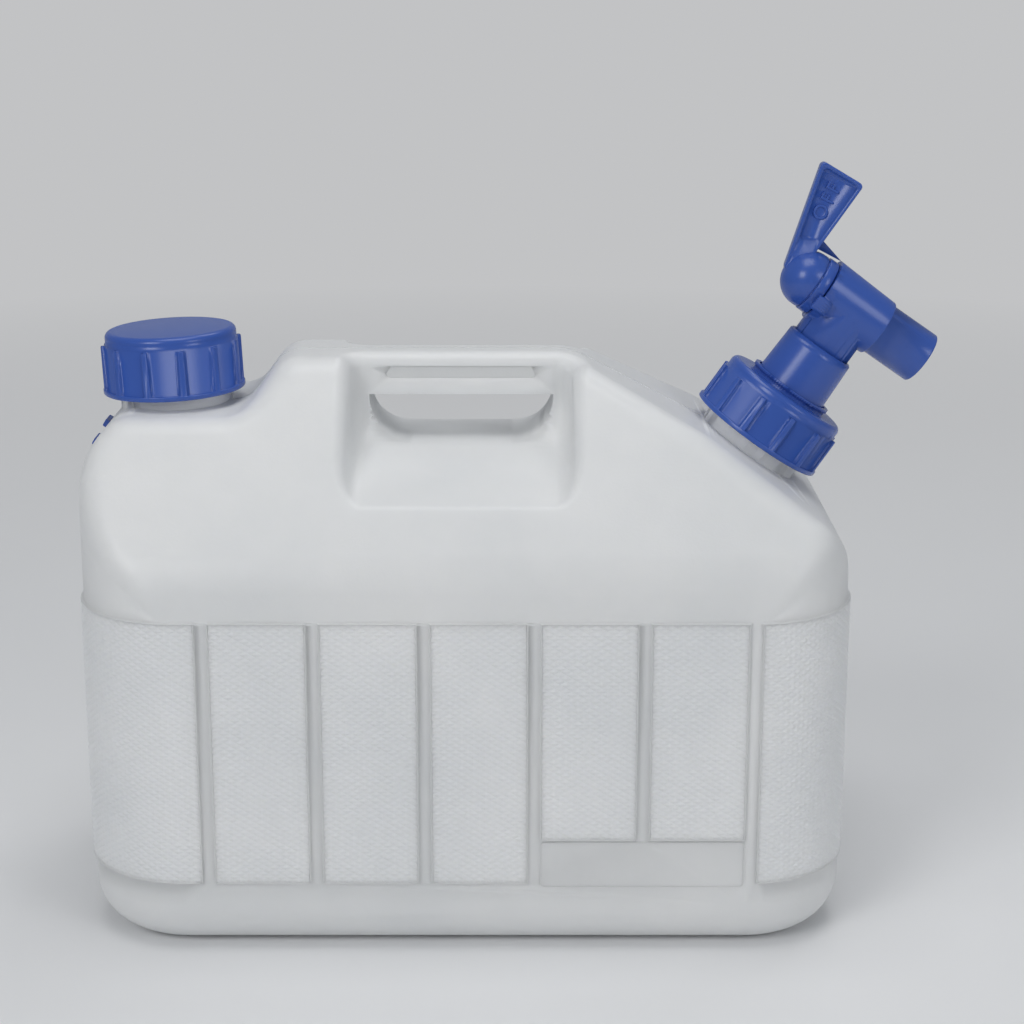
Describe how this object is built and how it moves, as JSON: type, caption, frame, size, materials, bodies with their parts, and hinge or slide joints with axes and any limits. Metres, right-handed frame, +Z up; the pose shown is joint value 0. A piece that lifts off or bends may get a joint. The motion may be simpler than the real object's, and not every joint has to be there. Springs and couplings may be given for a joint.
{
  "type": "water container with lever tap",
  "caption": "Blow-moulded carrying container with an integral handle, a ribbed screw filler cap, a push-in vent plug and a swivelling lever tap on a sloped shoulder.",
  "frame": {"origin": "centre of the flat base, on the surface that the container stands on", "axes": "+X along the container towards the tap, +Y to the back, away from the side with the label field, +Z up"},
  "size_m": [0.3497, 0.1718, 0.3072],
  "materials": {
    "bottle": "translucent white polyethylene, satin",
    "blue_plastic": "moulded blue polypropylene, semi-gloss",
    "seal": "soft sealing rubber"
  },
  "bodies": {
    "bottle": {"bottle_body": "bottle"},
    "filler_liner": {"filler_cap_liner": "seal"},
    "filler_cap": {"filler_cap": "blue_plastic"},
    "tap_sleeve": {"tap_sleeve": "blue_plastic", "tap_flange_gasket": "seal"},
    "tap_nut": {"tap_ring_nut": "blue_plastic"},
    "tap_body": {"tap_body": "blue_plastic", "stem_o_ring": "seal"},
    "tap_plug": {"tap_plug_lever": "blue_plastic", "plug_o_ring_inner": "seal", "plug_o_ring_outer": "seal"},
    "vent_plug": {"vent_plug": "blue_plastic"}
  },
  "joints": [
    {"name": "filler_lift", "type": "slide", "parent": "bottle", "child": "filler_liner", "axis": [-0.0419, 0, 0.9991], "range_m": [0, 0.06]},
    {"name": "filler_turn", "type": "hinge", "parent": "filler_liner", "child": "filler_cap", "pos_m": [-0.121, 0, 0.2095], "axis": [-0.0419, 0, 0.9991], "range_deg": [0, 3600]},
    {"name": "tap_lift", "type": "slide", "parent": "bottle", "child": "tap_sleeve", "axis": [0.5664, 0, 0.8241], "range_m": [0, 0.06]},
    {"name": "nut_turn", "type": "hinge", "parent": "tap_sleeve", "child": "tap_nut", "pos_m": [0.1169, 0, 0.1893], "axis": [0.5664, 0, 0.8241], "range_deg": [0, 3600]},
    {"name": "tap_swivel", "type": "hinge", "parent": "tap_sleeve", "child": "tap_body", "pos_m": [0.1169, 0, 0.1893], "axis": [0.5664, 0, 0.8241], "continuous": true},
    {"name": "lever_turn", "type": "hinge", "parent": "tap_body", "child": "tap_plug", "pos_m": [0.15706, 0, 0.24773], "axis": [0.8241, 0, -0.5664], "range_deg": [0, 90]},
    {"name": "vent_pull", "type": "slide", "parent": "bottle", "child": "vent_plug", "axis": [-0.848, 0, 0.5299], "range_m": [0, 0.03]}
  ],
  "couplings": [
    {"joint": "filler_lift", "follows": "filler_turn", "m_per_rad": 0.00095493},
    {"joint": "tap_lift", "follows": "nut_turn", "m_per_rad": 0.00095493}
  ]
}
